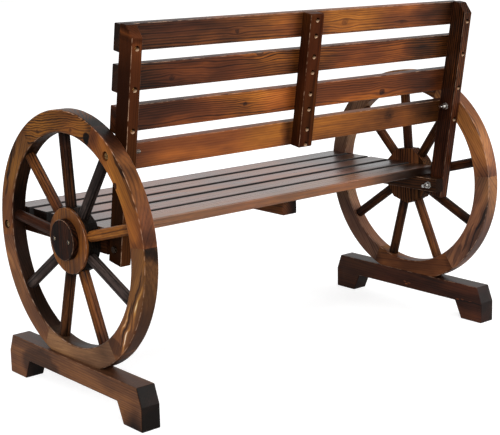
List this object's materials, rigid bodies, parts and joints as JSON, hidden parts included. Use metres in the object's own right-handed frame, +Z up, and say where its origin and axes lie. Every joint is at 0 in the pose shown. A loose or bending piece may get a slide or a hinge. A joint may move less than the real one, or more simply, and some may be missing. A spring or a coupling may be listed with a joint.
{
  "type": "wheeled garden bench",
  "caption": "Slatted wooden garden bench with a reclined back, carried at each end by a spoked wagon wheel standing on an arched foot.",
  "frame": {"origin": "on the floor, midway between the two wheels and under their common axis", "axes": "+X along the bench towards the sitter's left, +Y to the rear, +Z up"},
  "size_m": [1.1092, 0.553, 0.8068],
  "materials": {
    "rim_wood": "torched fir felloes under semi-gloss lacquer",
    "spoke_wood": "torched fir dowel under semi-gloss lacquer",
    "hub_wood": "torched fir under semi-gloss lacquer",
    "foot_wood": "torched fir under semi-gloss lacquer",
    "slat_wood": "torched fir slats under semi-gloss lacquer",
    "seat_wood": "torched fir boards under semi-gloss lacquer",
    "frame_wood": "darkly torched fir under semi-gloss lacquer",
    "zinc_screw": "bright zinc-plated pan-head wood screws",
    "zinc_bolt": "bright zinc-plated M8 bolts, washers and nuts"
  },
  "bodies": {
    "root": {"left_felloe_1": "rim_wood", "left_felloe_2": "rim_wood", "left_felloe_3": "rim_wood", "left_felloe_4": "rim_wood", "left_felloe_5": "rim_wood", "left_felloe_6": "rim_wood", "left_spoke_1": "spoke_wood", "left_spoke_2": "spoke_wood", "left_spoke_3": "spoke_wood", "left_spoke_4": "spoke_wood", "left_spoke_5": "spoke_wood", "left_spoke_6": "spoke_wood", "left_spoke_7": "spoke_wood", "left_spoke_8": "spoke_wood", "left_spoke_9": "spoke_wood", "left_hub": "hub_wood", "left_hub_disc": "hub_wood", "left_hub_cap": "hub_wood", "left_foot": "foot_wood", "left_post": "frame_wood", "left_outer_rail": "frame_wood", "left_bearer": "frame_wood", "right_felloe_1": "rim_wood", "right_felloe_2": "rim_wood", "right_felloe_3": "rim_wood", "right_felloe_4": "rim_wood", "right_felloe_5": "rim_wood", "right_felloe_6": "rim_wood", "right_spoke_1": "spoke_wood", "right_spoke_2": "spoke_wood", "right_spoke_3": "spoke_wood", "right_spoke_4": "spoke_wood", "right_spoke_5": "spoke_wood", "right_spoke_6": "spoke_wood", "right_spoke_7": "spoke_wood", "right_spoke_8": "spoke_wood", "right_spoke_9": "spoke_wood", "right_hub": "hub_wood", "right_hub_disc": "hub_wood", "right_hub_cap": "hub_wood", "right_foot": "foot_wood", "right_post": "frame_wood", "right_outer_rail": "frame_wood", "right_bearer": "frame_wood", "middle_post": "frame_wood", "back_slat_1": "slat_wood", "back_slat_2": "slat_wood", "back_slat_3": "slat_wood", "back_slat_4": "slat_wood", "seat_board_1": "seat_wood", "seat_board_2": "seat_wood", "seat_board_3": "seat_wood", "seat_board_4": "seat_wood", "seat_board_5": "seat_wood", "middle_bearer": "frame_wood", "short_screws": "zinc_screw", "long_screws": "zinc_screw", "frame_bolts": "zinc_bolt", "frame_washers": "zinc_bolt", "frame_nuts": "zinc_bolt"}
  },
  "joints": []
}
